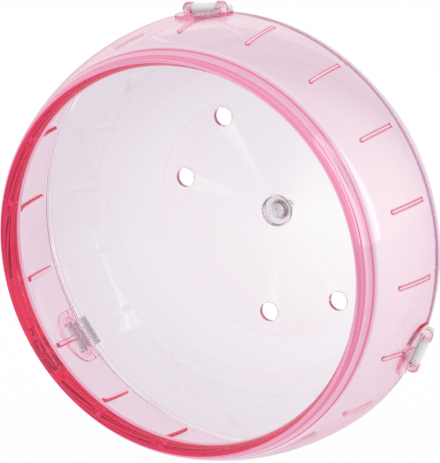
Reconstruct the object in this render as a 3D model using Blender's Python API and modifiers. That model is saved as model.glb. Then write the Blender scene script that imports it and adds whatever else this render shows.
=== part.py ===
"""Hamster wheel: a see-through drum in two moulded halves, held together by three swing latches.

The drum turns on a snap-in axle pin. The frame's origin is the middle of the washer's rear face, where
the wheel seats on a wall or a stand. +Y points into that wall, so the open mouth faces -Y, and +Z is up.
Each piece is drawn in the wheel's own frame: Z along the axle, positive towards the mouth, and zero at
the joint between the two halves.
"""

import math

import bmesh
import bpy
from mathutils import Matrix

MM = 0.001

# Running ring, the front half: a wall that curves in from its rear edge and thickens to a rounded lip
RIM_RADIUS = 71.7 * MM
CROWN_RADIUS = 100.0 * MM
RING_DEPTH = 39.2 * MM
RING_WALL = 1.7 * MM
MOUTH_RADIUS = 59.9 * MM
LIP_ROLL = 6.3 * MM
LIP_CREST_RADIUS = 1.6 * MM
LIP_BACK_RADIUS = 3.0 * MM
LIP_FILLET_RADIUS = 13.0 * MM

# Treads on the ring, and the fainter ribs on the shell's flank in line with them
TREAD_COUNT = 18
TREAD_WIDTH = 1.6 * MM
TREAD_HEIGHT = 1.2 * MM
TREAD_GAP = 3.1 * MM
TREAD_LENGTH = 17.0 * MM
FLANK_RIB_WIDTH = 1.0 * MM
FLANK_RIB_HEIGHT = 0.25 * MM
FLANK_RIB_START = 1.0 * MM
FLANK_RIB_LENGTH = 18.0 * MM
RIB_ROOT = 0.8 * MM

# Back shell, the rear half
SHELL_WALL = 1.7 * MM
SHELL_DEPTH = 32.4 * MM
FLANGE_SETBACK = 0.5 * MM
FLANGE_THICKNESS = 2.0 * MM
FLANK_STEP = 1.1 * MM
FLANK_ANGLE = math.radians(24.0)
CORNER_RADIUS = 24.0 * MM
SPIGOT_LENGTH = 1.2 * MM
REBATE_WALL = 0.9 * MM
JOINT_GAP = 0.3 * MM
VENT_RADIUS = 3.2 * MM
VENT_INSET = 5.4 * MM
VENT_OFFSETS = (-91.0, -47.5, 47.5, 91.0)
BOSS_WALL = 1.0 * MM
BOSS_LENGTH = 2.0 * MM
BOSS_FILLET = 0.6 * MM

# Axle pin and thrust washer
PIN_RADIUS = 2.0 * MM
PIN_CLEARANCE = 0.2 * MM
HEAD_OVERHANG = 3.5 * MM
HEAD_HEIGHT = 1.6 * MM
HEAD_EDGE = 0.3 * MM
HEAD_TAPER = 0.3 * MM
CORE_RIM = 0.7 * MM
CORE_DEPTH = 0.9 * MM
END_PLAY = 0.4 * MM
WALL_GRIP = 2.5 * MM
BARB_HEIGHT = 0.5 * MM
BARB_LENGTH = 4.6 * MM
BARB_TAPER = 0.9 * MM
SPLIT_WIDTH = 1.0 * MM
SPLIT_LENGTH = 9.0 * MM
WASHER_WIDTH = 0.9 * MM
WASHER_THICKNESS = 0.8 * MM

# Latches and the ears that carry them
STATION_ANGLES = {"latch_top": 0.0, "latch_right": -120.0, "latch_left": 120.0}
PIVOT_FORWARD = 3.3 * MM
PIVOT_HEIGHT = 1.4 * MM
EAR_RADIUS = 2.1 * MM
EAR_THICKNESS = 2.0 * MM
EAR_GAP = 9.2 * MM
EAR_ROOT = 0.05 * MM
DOME_STEP = 0.25 * MM
DOME_HEIGHT = 1.2 * MM
DOME_ROOT = 0.4 * MM
PAD_HEIGHT = 0.3 * MM
PAD_FLOOR = 0.5 * MM
PAD_MARGIN = 2.9 * MM
PAD_REAR = 2.2 * MM
PAD_SHOULDER = 5.0 * MM
PAD_FRONT = 12.5 * MM
TRUNNION_RADIUS = 0.95 * MM
TRUNNION_LENGTH = 1.5 * MM
TRUNNION_CLEARANCE = 0.2 * MM
SNAP_BITE = 0.4 * MM
SNAP_SLOT_ANGLE = 50.0
BARREL_RADIUS = 1.65 * MM
BARREL_GAP = 0.3 * MM
GROOVE_RUN_IN = 0.5 * MM
LATCH_SIDE_GAP = 0.3 * MM
EAR_REAR_GAP = 0.6 * MM
FLAP_OVERHANG = 0.6 * MM
FLAP_TOP = 0.9 * MM
FLAP_FOOT = -0.6 * MM
FLAP_TILT = math.radians(9.0)
FLAP_CORNER = 1.2 * MM
HOOK_THICKNESS = 2.2 * MM
HOOK_GAP = 0.4 * MM
HOOK_BITE = 1.0 * MM
HOOK_LEAD_IN = 0.8 * MM

# How far the wheel is turned about its axle, from the right-hand side up to the first latch
WHEEL_PHASE = math.radians(97.1)

ROUND_STEPS = 72
VENT_STEPS = 24
HUB_STEPS = 48
ROD_STEPS = 28
ARC_STEPS = 7
CUT_MARGIN = 2.0 * MM

# Places that follow from the sizes above
CROWN_CENTRE = (RIM_RADIUS - CROWN_RADIUS, 0.0)
TREAD_REAR = SPIGOT_LENGTH + TREAD_GAP
REBATE_RADIUS = RIM_RADIUS - REBATE_WALL
REBATE_DEPTH = SPIGOT_LENGTH + JOINT_GAP
FLANGE_RADIUS = RIM_RADIUS - FLANGE_SETBACK
FLANGE_REAR = -JOINT_GAP - FLANGE_THICKNESS
FLANK_START_RADIUS = FLANGE_RADIUS - FLANK_STEP
BORE_RADIUS = PIN_RADIUS + PIN_CLEARANCE
BOSS_RADIUS = BORE_RADIUS + BOSS_WALL
WASHER_RADIUS = BORE_RADIUS + WASHER_WIDTH
HEAD_RADIUS = PIN_RADIUS + HEAD_OVERHANG
HEAD_FOOT_RADIUS = HEAD_RADIUS - HEAD_TAPER
CORE_RADIUS = HEAD_RADIUS - CORE_RIM
BARB_RADIUS = PIN_RADIUS + BARB_HEIGHT
BARB_TIP_RADIUS = BARB_RADIUS - BARB_TAPER
BACK_INNER = -SHELL_DEPTH + SHELL_WALL
BOSS_REAR = -SHELL_DEPTH - BOSS_LENGTH
WASHER_FRONT = BOSS_REAR - END_PLAY
SEAT = WASHER_FRONT - WASHER_THICKNESS
HEAD_SEAT = BACK_INNER + JOINT_GAP
TAIL_END = SEAT - WALL_GRIP - BARB_LENGTH
PIVOT_RADIUS = RIM_RADIUS + PIVOT_HEIGHT
GROOVE_RADIUS = BARREL_RADIUS + BARREL_GAP
SOCKET_RADIUS = TRUNNION_RADIUS + TRUNNION_CLEARANCE
SNAP_SLOT_WIDTH = 2 * TRUNNION_RADIUS - SNAP_BITE
DOME_RADIUS = EAR_RADIUS - DOME_STEP
FLAP_WIDTH = EAR_GAP + 2 * FLAP_OVERHANG
PAD_TOP_RADIUS = RIM_RADIUS + PAD_HEIGHT
PAD_FLOOR_RADIUS = RIM_RADIUS - RING_WALL + PAD_FLOOR
PAD_WIDTH = EAR_GAP + 2 * (EAR_THICKNESS + PAD_MARGIN)

PINK = (0.87, 0.42, 0.53, 1.0)
CLEAR = (0.90, 0.90, 0.93, 1.0)
NATURAL = (0.86, 0.86, 0.84, 1.0)


def clear_scene():
    """Empty the scene before the model is built."""
    for old in list(bpy.data.objects):
        bpy.data.objects.remove(old, do_unlink=True)


def new_collection(name):
    """A collection of the scene's own."""
    collection = bpy.data.collections.new(name)
    bpy.context.scene.collection.children.link(collection)
    return collection


def plastic(name, colour, roughness):
    """A moulded plastic with one colour."""
    material = bpy.data.materials.new(name)
    material.use_nodes = True
    shader = material.node_tree.nodes["Principled BSDF"]
    shader.inputs["Base Color"].default_value = colour
    shader.inputs["Roughness"].default_value = roughness
    shader.inputs["Metallic"].default_value = 0.0
    return material


def station(angle, radius, forward):
    """The frame at a place on the wheel: X along the rim, Y to the mouth, Z away from the axle."""
    across = Matrix.Rotation(angle, 4, "Z") @ Matrix.Translation((radius, 0.0, forward))
    return across @ Matrix.Rotation(math.radians(90), 4, "Z") @ Matrix.Rotation(math.radians(90), 4, "X")


def arc(centre, radius, start, end, steps):
    """Points along an arc, with the angles in degrees from the first axis."""
    points = []
    for step in range(steps + 1):
        angle = math.radians(start + (end - start) * step / steps)
        points.append((centre[0] + radius * math.cos(angle), centre[1] + radius * math.sin(angle)))
    return points


def baked(source):
    """The object's finished mesh with its doubles merged. The object itself is removed."""
    bpy.context.view_layer.update()
    graph = bpy.context.evaluated_depsgraph_get()
    mesh = bpy.data.meshes.new_from_object(source.evaluated_get(graph))
    bpy.data.objects.remove(source, do_unlink=True)
    shape = bmesh.new()
    shape.from_mesh(mesh)
    bmesh.ops.remove_doubles(shape, verts=shape.verts, dist=1e-7)
    bmesh.ops.recalc_face_normals(shape, faces=shape.faces)
    shape.to_mesh(mesh)
    shape.free()
    return mesh


def turned(name, profile, steps, closed):
    """A mesh turned about Z from (radius, height) points that run down its outer side."""
    mesh = bpy.data.meshes.new(name)
    count = len(profile)
    edges = [(i, i + 1) for i in range(count - 1)]
    if closed:
        edges.append((count - 1, 0))
    mesh.from_pydata([(radius, 0.0, height) for radius, height in profile], edges, [])
    source = bpy.data.objects.new(name, mesh)
    bpy.context.scene.collection.objects.link(source)
    screw = source.modifiers.new("Turn", "SCREW")
    screw.axis = "Z"
    screw.steps = steps
    screw.render_steps = steps
    screw.use_merge_vertices = True
    screw.merge_threshold = 1e-6
    return baked(source)


def slab(name, outline, thickness):
    """A mesh of a flat outline in XY, with its thickness split about that plane."""
    curve = bpy.data.curves.new(name, "CURVE")
    curve.dimensions = "2D"
    curve.fill_mode = "BOTH"
    curve.extrude = thickness / 2
    spline = curve.splines.new("POLY")
    spline.points.add(len(outline) - 1)
    for point, (x, y) in zip(spline.points, outline):
        point.co = (x, y, 0.0, 1.0)
    spline.use_cyclic_u = True
    source = bpy.data.objects.new(name, curve)
    bpy.context.scene.collection.objects.link(source)
    return baked(source)


def rod(name, radius, length, steps):
    """A plain round rod along Z, centred on the origin."""
    mesh = bpy.data.meshes.new(name)
    shape = bmesh.new()
    bmesh.ops.create_cone(
        shape, cap_ends=True, segments=steps, radius1=radius, radius2=radius, depth=length
    )
    shape.to_mesh(mesh)
    shape.free()
    return mesh


def block(name, size):
    """A box centred on the origin."""
    mesh = bpy.data.meshes.new(name)
    shape = bmesh.new()
    bmesh.ops.create_cube(shape, size=1.0)
    bmesh.ops.scale(shape, vec=size, verts=shape.verts)
    shape.to_mesh(mesh)
    shape.free()
    return mesh


def gathered(name, placed, cutters):
    """One cutter object that holds copies of meshes, each at its own matrix."""
    shape = bmesh.new()
    for mesh, matrix in placed:
        first = len(shape.verts)
        shape.from_mesh(mesh)
        shape.verts.ensure_lookup_table()
        bmesh.ops.transform(shape, matrix=matrix, verts=shape.verts[first:])
    mesh = bpy.data.meshes.new(name)
    shape.to_mesh(mesh)
    shape.free()
    tool = bpy.data.objects.new(name, mesh)
    tool.hide_render = True
    tool.display_type = "WIRE"
    cutters.objects.link(tool)
    return tool


def piece(name, mesh, material, parent, parts):
    """A finished piece of the wheel, shaded smooth with its corners kept."""
    part = bpy.data.objects.new(name, mesh)
    mesh.materials.clear()
    mesh.materials.append(material)
    mesh.shade_smooth()
    mesh.set_sharp_from_angle(angle=math.radians(32))
    part.parent = parent
    parts.objects.link(part)
    return part


def combine(part, tool, operation):
    """Join a tool to a piece, or cut it out. The tool sits in the piece's own frame."""
    tool.parent = part
    change = part.modifiers.new(tool.name, "BOOLEAN")
    change.operation = operation
    change.solver = "EXACT"
    change.object = tool


def axis_empty(name, parent, location, rotation, parts):
    """An empty on the axis that its children turn about."""
    empty = bpy.data.objects.new(name, None)
    empty.empty_display_size = 10 * MM
    empty.parent = parent
    empty.location = location
    empty.rotation_euler = rotation
    parts.objects.link(empty)
    return empty


def wall_radius(height, depth):
    """The radius of the ring's wall at a height, and at a depth below its outer surface."""
    return CROWN_CENTRE[0] + math.sqrt((CROWN_RADIUS - depth) ** 2 - height**2)


def ring_profile():
    """The ring's section: down the outside, round the rear edge, up the inside and round the lip.

    The rear edge has a rebate for the shell's spigot, so that the halves are level inside. The lip is
    thickest at the mouth, some way behind its crest. Four arcs that touch each other lead round it: a
    fillet that starts at the wall, the lip's back, its long roll from the mouth forward, and its crest.
    """
    inner_reach = CROWN_RADIUS - RING_WALL
    crest_reach = CROWN_RADIUS - LIP_CREST_RADIUS
    crest = math.asin((RING_DEPTH - LIP_CREST_RADIUS) / crest_reach)
    crest_centre = (CROWN_CENTRE[0] + crest_reach * math.cos(crest), crest_reach * math.sin(crest))
    mouth_height = RING_DEPTH - LIP_ROLL
    inset = crest_centre[0] - MOUTH_RADIUS
    rise = crest_centre[1] - mouth_height
    roll_radius = (inset**2 + rise**2 - LIP_CREST_RADIUS**2) / (2 * (inset - LIP_CREST_RADIUS))
    roll_end = math.atan2(rise, inset - roll_radius)
    back_centre = (MOUTH_RADIUS + LIP_BACK_RADIUS, mouth_height)
    back_reach = math.hypot(back_centre[0] - CROWN_CENTRE[0], mouth_height)
    near = inner_reach - LIP_FILLET_RADIUS
    far = LIP_BACK_RADIUS + LIP_FILLET_RADIUS
    flare = math.atan2(mouth_height, back_centre[0] - CROWN_CENTRE[0])
    flare -= math.acos((back_reach**2 + near**2 - far**2) / (2 * back_reach * near))
    flare_centre = (CROWN_CENTRE[0] + near * math.cos(flare), near * math.sin(flare))
    meets = math.atan2(mouth_height - flare_centre[1], back_centre[0] - flare_centre[0])
    rebate_end = math.asin(REBATE_DEPTH / inner_reach)
    crest, roll_end, flare, meets, rebate_end = (
        math.degrees(angle) for angle in (crest, roll_end, flare, meets, rebate_end)
    )
    outer = arc(CROWN_CENTRE, CROWN_RADIUS, crest, 0, ARC_STEPS)
    rebate = [(REBATE_RADIUS, 0.0), (REBATE_RADIUS, REBATE_DEPTH)]
    inner = arc(CROWN_CENTRE, inner_reach, rebate_end, flare, ARC_STEPS - 2)
    fillet = arc(flare_centre, LIP_FILLET_RADIUS, flare, meets, ARC_STEPS // 2)
    back = arc(back_centre, LIP_BACK_RADIUS, meets + 180, 180, ARC_STEPS // 2)
    roll = arc((MOUTH_RADIUS + roll_radius, mouth_height), roll_radius, 180, roll_end, ARC_STEPS // 2)
    front = arc(crest_centre, LIP_CREST_RADIUS, roll_end, crest, ARC_STEPS - 2)
    return outer + rebate + inner + fillet[1:] + back[1:] + roll[1:] + front[1:-1]


def flank_radius(height):
    """The flank's outer radius at a height behind the flange."""
    return FLANK_START_RADIUS - (FLANGE_REAR - height) * math.tan(FLANK_ANGLE)


def corner_centre():
    """The centre of the round corner between the flank and the flat back."""
    setback = CORNER_RADIUS * math.tan((math.pi / 2 - FLANK_ANGLE) / 2)
    return flank_radius(-SHELL_DEPTH) - setback, -SHELL_DEPTH + CORNER_RADIUS


def shell_profile():
    """The shell's section, from the spigot down its outside to the hub, and straight up its inside."""
    centre = corner_centre()
    flank_end = -math.degrees(FLANK_ANGLE)
    outer = arc(centre, CORNER_RADIUS, flank_end, -90, ARC_STEPS)
    inner = arc(centre, CORNER_RADIUS - SHELL_WALL, -90, flank_end, ARC_STEPS)
    boss = arc(
        (BOSS_RADIUS + BOSS_FILLET, -SHELL_DEPTH - BOSS_FILLET), BOSS_FILLET, 90, 180, ARC_STEPS // 2
    )
    spigot_outer = REBATE_RADIUS - JOINT_GAP
    spigot_inner = flank_radius(SPIGOT_LENGTH) - SHELL_WALL / math.cos(FLANK_ANGLE)
    rim = [
        (spigot_outer, SPIGOT_LENGTH),
        (spigot_outer, -JOINT_GAP),
        (FLANGE_RADIUS, -JOINT_GAP),
        (FLANGE_RADIUS, FLANGE_REAR),
        (FLANK_START_RADIUS, FLANGE_REAR),
    ]
    hub = boss + [(BOSS_RADIUS, BOSS_REAR), (BORE_RADIUS, BOSS_REAR), (BORE_RADIUS, BACK_INNER)]
    return rim + outer + hub + inner + [(spigot_inner, SPIGOT_LENGTH)]


def pin_profile():
    """The pin's section: cored head with a thin rim, journal, and barbed tail."""
    front = HEAD_SEAT + HEAD_HEIGHT
    edge = arc((HEAD_RADIUS - HEAD_EDGE, front - HEAD_EDGE), HEAD_EDGE, 90, 0, ARC_STEPS)
    core_floor = front - CORE_DEPTH
    barb_front = SEAT - WALL_GRIP
    return (
        [(0.0, core_floor), (CORE_RADIUS - CORE_DEPTH / 2, core_floor), (CORE_RADIUS, front)]
        + edge
        + [
            (HEAD_FOOT_RADIUS, HEAD_SEAT),
            (PIN_RADIUS, HEAD_SEAT),
            (PIN_RADIUS, barb_front),
            (BARB_RADIUS, barb_front - (BARB_RADIUS - PIN_RADIUS)),
            (BARB_TIP_RADIUS, TAIL_END),
            (0.0, TAIL_END),
        ]
    )


def washer_profile():
    """The washer's section, a plain ring round the pin."""
    return [
        (WASHER_RADIUS, WASHER_FRONT),
        (WASHER_RADIUS, SEAT),
        (BORE_RADIUS, SEAT),
        (BORE_RADIUS, WASHER_FRONT),
    ]


def rib_outline(length, width):
    """A rib seen from the axle: square at the rear, round at the front, with its rear at the origin."""
    half = width / 2
    return [(-half, 0.0), (half, 0.0)] + arc((0.0, length - half), half, 0, 180, ARC_STEPS)


def rib_set(name, rib, rear, tilt, cutters):
    """One rib for each tread, standing on the wall whose rear point is (radius, height)."""
    placed = []
    for number in range(TREAD_COUNT):
        angle = 2 * math.pi * number / TREAD_COUNT
        placed.append((rib, station(angle, *rear) @ Matrix.Rotation(tilt, 4, "X")))
    return gathered(name, placed, cutters)


def ring_treads(cutters):
    """Tread bars that stand on the ring's inside wall and are rooted in it."""
    thickness = TREAD_HEIGHT + RIB_ROOT
    rib = slab("tread", rib_outline(TREAD_LENGTH, TREAD_WIDTH), thickness)
    rear = wall_radius(TREAD_REAR, RING_WALL)
    fall = rear - wall_radius(TREAD_REAR + TREAD_LENGTH, RING_WALL)
    tilt = -math.atan(fall / TREAD_LENGTH)
    return rib_set("ring_treads", rib, (rear + RIB_ROOT - thickness / 2, TREAD_REAR), tilt, cutters)


def flank_ribs(cutters):
    """Low ribs that lead on from the treads over the shell's sloping flank."""
    thickness = FLANK_RIB_HEIGHT + RIB_ROOT
    rib = slab("flank_rib", rib_outline(FLANK_RIB_LENGTH, FLANK_RIB_WIDTH), thickness)
    rear = FLANGE_REAR - FLANK_RIB_START - FLANK_RIB_LENGTH * math.cos(FLANK_ANGLE)
    inner = flank_radius(rear) - SHELL_WALL / math.cos(FLANK_ANGLE)
    lift = (RIB_ROOT - thickness / 2) / math.cos(FLANK_ANGLE)
    return rib_set("flank_ribs", rib, (inner + lift, rear), FLANK_ANGLE, cutters)


def upright():
    """Turns a slab drawn in (forward, outward) so that its thickness runs along the rim."""
    return Matrix(((0, 0, 1, 0), (1, 0, 0, 0), (0, 1, 0, 0), (0, 0, 0, 1)))


def pad_outline():
    """The raised pad seen from outside: straight at the rear, an arch towards the mouth."""
    half = PAD_WIDTH / 2
    steps = 2 * ARC_STEPS
    arch = []
    for x, y in arc((0.0, 0.0), 1.0, 0, 180, steps):
        arch.append((half * x, PAD_SHOULDER + (PAD_FRONT - PAD_SHOULDER) * y))
    return [(-half, PAD_REAR), (half, PAD_REAR)] + arch


def dome_profile():
    """The round end of an ear, from its top down to its root."""
    dome = [(DOME_RADIUS * x, DOME_HEIGHT * y) for x, y in arc((0.0, 0.0), 1.0, 90, 0, ARC_STEPS // 2)]
    return [(0.0, DOME_HEIGHT)] + dome[1:] + [(DOME_RADIUS, -DOME_ROOT), (0.0, -DOME_ROOT)]


def ear_outline():
    """An ear from the side: a hook round the pivot, open where the trunnion snaps in."""
    inner = math.degrees(math.asin(SNAP_SLOT_WIDTH / 2 / SOCKET_RADIUS))
    outer = math.degrees(math.asin(SNAP_SLOT_WIDTH / 2 / EAR_RADIUS))
    pivot = (PIVOT_FORWARD, PIVOT_RADIUS)
    foot = PIVOT_RADIUS - GROOVE_RADIUS - EAR_ROOT
    return (
        [(PIVOT_FORWARD - EAR_RADIUS, foot), (PIVOT_FORWARD + EAR_RADIUS, foot)]
        + arc(pivot, EAR_RADIUS, 0, SNAP_SLOT_ANGLE - outer, ARC_STEPS // 2)
        + arc(pivot, SOCKET_RADIUS, SNAP_SLOT_ANGLE - inner, SNAP_SLOT_ANGLE + inner - 360, 2 * ARC_STEPS)
        + arc(pivot, EAR_RADIUS, SNAP_SLOT_ANGLE + outer, 180, ARC_STEPS)
    )


def ring_pads(cutters):
    """A raised pad at each latch, and the groove in it for the latch's barrel, run in under the ears."""
    pad = slab("pad", pad_outline(), PAD_TOP_RADIUS - PAD_FLOOR_RADIUS)
    groove = rod("groove", GROOVE_RADIUS, EAR_GAP + 2 * GROOVE_RUN_IN, ROD_STEPS)
    sideways = Matrix.Rotation(math.radians(90), 4, "Y")
    middle = (PAD_TOP_RADIUS + PAD_FLOOR_RADIUS) / 2
    pads = []
    grooves = []
    for angle in STATION_ANGLES.values():
        pads.append((pad, station(math.radians(angle), middle, 0.0)))
        grooves.append((groove, station(math.radians(angle), PIVOT_RADIUS, PIVOT_FORWARD) @ sideways))
    return gathered("ring_pads", pads, cutters), gathered("barrel_grooves", grooves, cutters)


def ring_ears(cutters):
    """Two ears at each latch, and the domes that round off their outer ends."""
    ear = slab("ear", ear_outline(), EAR_THICKNESS)
    dome = turned("dome", dome_profile(), 2 * ARC_STEPS, False)
    ears = []
    domes = []
    for angle in STATION_ANGLES.values():
        foot = station(math.radians(angle), 0.0, 0.0)
        pivot = station(math.radians(angle), PIVOT_RADIUS, PIVOT_FORWARD)
        for side in (-1, 1):
            across = Matrix.Translation((side * (EAR_GAP + EAR_THICKNESS) / 2, 0.0, 0.0))
            ears.append((ear, foot @ across @ upright()))
            end = Matrix.Translation((side * (EAR_GAP / 2 + EAR_THICKNESS), 0.0, 0.0))
            domes.append((dome, pivot @ end @ Matrix.Rotation(math.radians(90 * side), 4, "Y")))
    return gathered("ring_ears", ears, cutters), gathered("ear_domes", domes, cutters)


def latch_outline():
    """A latch from the side, about its pivot: barrel, flap over the joint, and hook behind the flange.

    It is drawn with the flap level, and then tilted so that the hook comes in over the flank.
    """
    cos = math.cos(FLAP_TILT)
    sin = math.sin(FLAP_TILT)
    hook_front = FLANGE_REAR - HOOK_GAP - PIVOT_FORWARD
    hook_foot = FLANGE_RADIUS - HOOK_BITE - PIVOT_RADIUS
    front = hook_front * cos + hook_foot * sin
    foot = hook_foot * cos - hook_front * sin
    rear = front - HOOK_THICKNESS
    top_meets = 180 - math.degrees(math.asin(FLAP_TOP / BARREL_RADIUS))
    foot_meets = -180 + math.degrees(math.asin(-FLAP_FOOT / BARREL_RADIUS))
    barrel = arc((0.0, 0.0), BARREL_RADIUS, foot_meets, top_meets, 2 * ARC_STEPS)
    corner = arc((rear + FLAP_CORNER, FLAP_TOP - FLAP_CORNER), FLAP_CORNER, 90, 180, ARC_STEPS // 2)
    hook = [
        (rear, foot + 2 * HOOK_LEAD_IN),
        (rear + HOOK_LEAD_IN, foot),
        (front, foot),
        (front, FLAP_FOOT),
    ]
    level = barrel + corner + hook
    return [(x * cos - y * sin, x * sin + y * cos) for x, y in level]


def build_latch(name, angle, material, parent, parts, cutters):
    """One latch, with its origin on its pivot and X along its hinge.

    It is a wide flap, narrowed between the ears, with a trunnion at each side.
    """
    mesh = slab(name, latch_outline(), FLAP_WIDTH)
    mesh.transform(upright())
    part = piece(name, mesh, material, parent, parts)
    place = station(math.radians(angle), PIVOT_RADIUS, PIVOT_FORWARD)
    part.location = place.to_translation()
    part.rotation_euler = place.to_euler()
    neck = EAR_GAP - 2 * LATCH_SIDE_GAP
    rear = -EAR_RADIUS - EAR_REAR_GAP
    front = BARREL_RADIUS + CUT_MARGIN
    shave = block("shave", (FLAP_WIDTH, front - rear, 2 * front))
    stub = rod("stub", TRUNNION_RADIUS, TRUNNION_LENGTH + CUT_MARGIN, ROD_STEPS // 2)
    sideways = Matrix.Rotation(math.radians(90), 4, "Y")
    sides = []
    stubs = []
    for side in (-1, 1):
        shave_middle = side * (neck + FLAP_WIDTH) / 2
        sides.append((shave, Matrix.Translation((shave_middle, (front + rear) / 2, 0.0))))
        stub_middle = side * (neck + TRUNNION_LENGTH - CUT_MARGIN) / 2
        stubs.append((stub, Matrix.Translation((stub_middle, 0.0, 0.0)) @ sideways))
    combine(part, gathered(name + "_sides", sides, cutters), "DIFFERENCE")
    combine(part, gathered(name + "_trunnions", stubs, cutters), "UNION")


def build_ring(material, parent, parts, cutters):
    """The pink front half, with its treads inside and its ears at the rear edge."""
    mesh = turned("running_ring", ring_profile(), ROUND_STEPS, True)
    ring = piece("running_ring", mesh, material, parent, parts)
    combine(ring, ring_treads(cutters), "UNION")
    pads, grooves = ring_pads(cutters)
    combine(ring, pads, "UNION")
    combine(ring, grooves, "DIFFERENCE")
    for tool in ring_ears(cutters):
        combine(ring, tool, "UNION")


def build_shell(material, parent, parts, cutters):
    """The clear rear half, with its ribs and its vents."""
    mesh = turned("back_shell", shell_profile(), ROUND_STEPS, True)
    shell = piece("back_shell", mesh, material, parent, parts)
    combine(shell, flank_ribs(cutters), "UNION")
    vent = rod("vent", VENT_RADIUS, SHELL_WALL + 2 * CUT_MARGIN, VENT_STEPS)
    middle = -SHELL_DEPTH + SHELL_WALL / 2
    vent_circle = corner_centre()[0] - VENT_INSET
    vents = []
    for offset in VENT_OFFSETS:
        turn = Matrix.Rotation(math.radians(STATION_ANGLES["latch_left"] + offset), 4, "Z")
        vents.append((vent, turn @ Matrix.Translation((vent_circle, 0.0, middle))))
    combine(shell, gathered("vents", vents, cutters), "DIFFERENCE")


def build_axle(pin_material, washer_material, parent, parts, cutters):
    """The pin, with its tail split crosswise into four prongs, and the washer behind the hub."""
    mesh = turned("axle_pin", pin_profile(), HUB_STEPS, False)
    pin = piece("axle_pin", mesh, pin_material, parent, parts)
    split = block("split", (2 * BARB_RADIUS + CUT_MARGIN, SPLIT_WIDTH, SPLIT_LENGTH + CUT_MARGIN))
    middle = Matrix.Translation((0.0, 0.0, TAIL_END + (SPLIT_LENGTH - CUT_MARGIN) / 2))
    for turn in (0, 90):
        place = middle @ Matrix.Rotation(math.radians(turn), 4, "Z")
        combine(pin, gathered(f"tail_split_{turn}", [(split, place)], cutters), "DIFFERENCE")
    mesh = turned("thrust_washer", washer_profile(), HUB_STEPS, True)
    piece("thrust_washer", mesh, washer_material, parent, parts)


def main():
    """Build the wheel round its axle."""
    clear_scene()
    parts = new_collection("hamster_wheel")
    cutters = new_collection("cutters")
    pink = plastic("pink_polystyrene", PINK, 0.08)
    clear = plastic("clear_polystyrene", CLEAR, 0.06)
    natural = plastic("natural_nylon", NATURAL, 0.4)
    axle_line = axis_empty("axle_line", None, (0.0, SEAT, 0.0), (math.radians(90), 0.0, 0.0), parts)
    wheel_axis = axis_empty("wheel_axis", axle_line, (0.0, 0.0, 0.0), (0.0, 0.0, WHEEL_PHASE), parts)
    build_ring(pink, wheel_axis, parts, cutters)
    build_shell(clear, wheel_axis, parts, cutters)
    for name, angle in STATION_ANGLES.items():
        build_latch(name, angle, clear, wheel_axis, parts, cutters)
    build_axle(clear, natural, axle_line, parts, cutters)


main()
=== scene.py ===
"""Dresses the hamster wheel: two see-through drum halves, three swing latches, an axle pin and a washer.

Every shape is drawn in the wheel's own frame first: Z runs along the axle towards the mouth and is zero at
the joint between the halves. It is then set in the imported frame, where the mouth faces -Y and +Z is up.
"""

import logging
import math
from dataclasses import dataclass
from enum import Enum

import bmesh
import bpy
from bmesh.types import BMesh, BMFace, BMVert
from mathutils import Matrix, Vector

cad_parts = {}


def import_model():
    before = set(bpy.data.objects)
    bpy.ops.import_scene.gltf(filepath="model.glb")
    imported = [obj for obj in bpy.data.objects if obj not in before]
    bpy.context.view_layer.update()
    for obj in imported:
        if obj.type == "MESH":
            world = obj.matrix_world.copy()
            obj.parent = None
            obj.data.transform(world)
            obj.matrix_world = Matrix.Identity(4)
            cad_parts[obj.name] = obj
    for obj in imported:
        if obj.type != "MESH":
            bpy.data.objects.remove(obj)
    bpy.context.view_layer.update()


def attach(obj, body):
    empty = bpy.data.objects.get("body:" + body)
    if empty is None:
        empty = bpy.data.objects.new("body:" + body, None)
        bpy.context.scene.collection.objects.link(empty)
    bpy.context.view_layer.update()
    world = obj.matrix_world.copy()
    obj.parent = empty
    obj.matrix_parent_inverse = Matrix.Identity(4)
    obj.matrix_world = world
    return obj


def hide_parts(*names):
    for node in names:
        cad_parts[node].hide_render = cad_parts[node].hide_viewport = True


MM = 0.001  # a millimetre, in metres
SPARE = 2 * MM  # how far a cutting tool stands out past what it cuts
MERGE = 1e-7  # points nearer to each other than this are one
WAVE_TURN = 0.314  # how wide a ring of the Wave texture is, at a scale of 1
CORNER = math.radians(60)  # faces that meet at more than this make a corner, which is rounded
CRISP = math.radians(34)  # faces that meet at more than this are shaded with a crisp edge
LOG = logging.getLogger("hamster_wheel")
Point = tuple[float, float]
Colour = tuple[float, float, float, float]


class Body(Enum):
    """The bodies of the frame that pieces ride on."""

    AXLE = "axle"
    WHEEL = "wheel"
    TOP_LATCH = "top_latch"
    RIGHT_LATCH = "right_latch"
    LEFT_LATCH = "left_latch"


class Cut(Enum):
    """What a tool does to the shape it meets."""

    JOIN = "UNION"
    REMOVE = "DIFFERENCE"


def linear(code: str) -> Colour:
    """Turn an sRGB hex value into a linear colour.

    Args:
        code: Six hex digits, without a mark in front.

    Returns:
        Linear red, green and blue, and an alpha of 1.
    """
    channels = [int(code[i : i + 2], 16) / 255 for i in (0, 2, 4)]
    parts = [c / 12.92 if c <= 0.04045 else ((c + 0.055) / 1.055) ** 2.4 for c in channels]
    return parts[0], parts[1], parts[2], 1.0


def add_node(
    tree: bpy.types.NodeTree, kind: str, settings: dict[str, object], links: dict[str, bpy.types.NodeSocket]
) -> bpy.types.Node:
    """Add a node with its settings and links.

    Args:
        tree: The node tree it goes into.
        kind: The node's type name.
        settings: Values by the name or number of an input, or by the name of a property of the node.
        links: Output sockets by the name or number of the input they feed.

    Returns:
        The new node.
    """
    node = tree.nodes.new(kind)
    for name, value in settings.items():
        if hasattr(node, name):
            setattr(node, name, value)
        else:
            node.inputs[int(name) if name.isdigit() else name].default_value = value
    for name, source in links.items():
        tree.links.new(source, node.inputs[int(name) if name.isdigit() else name])
    return node


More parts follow.
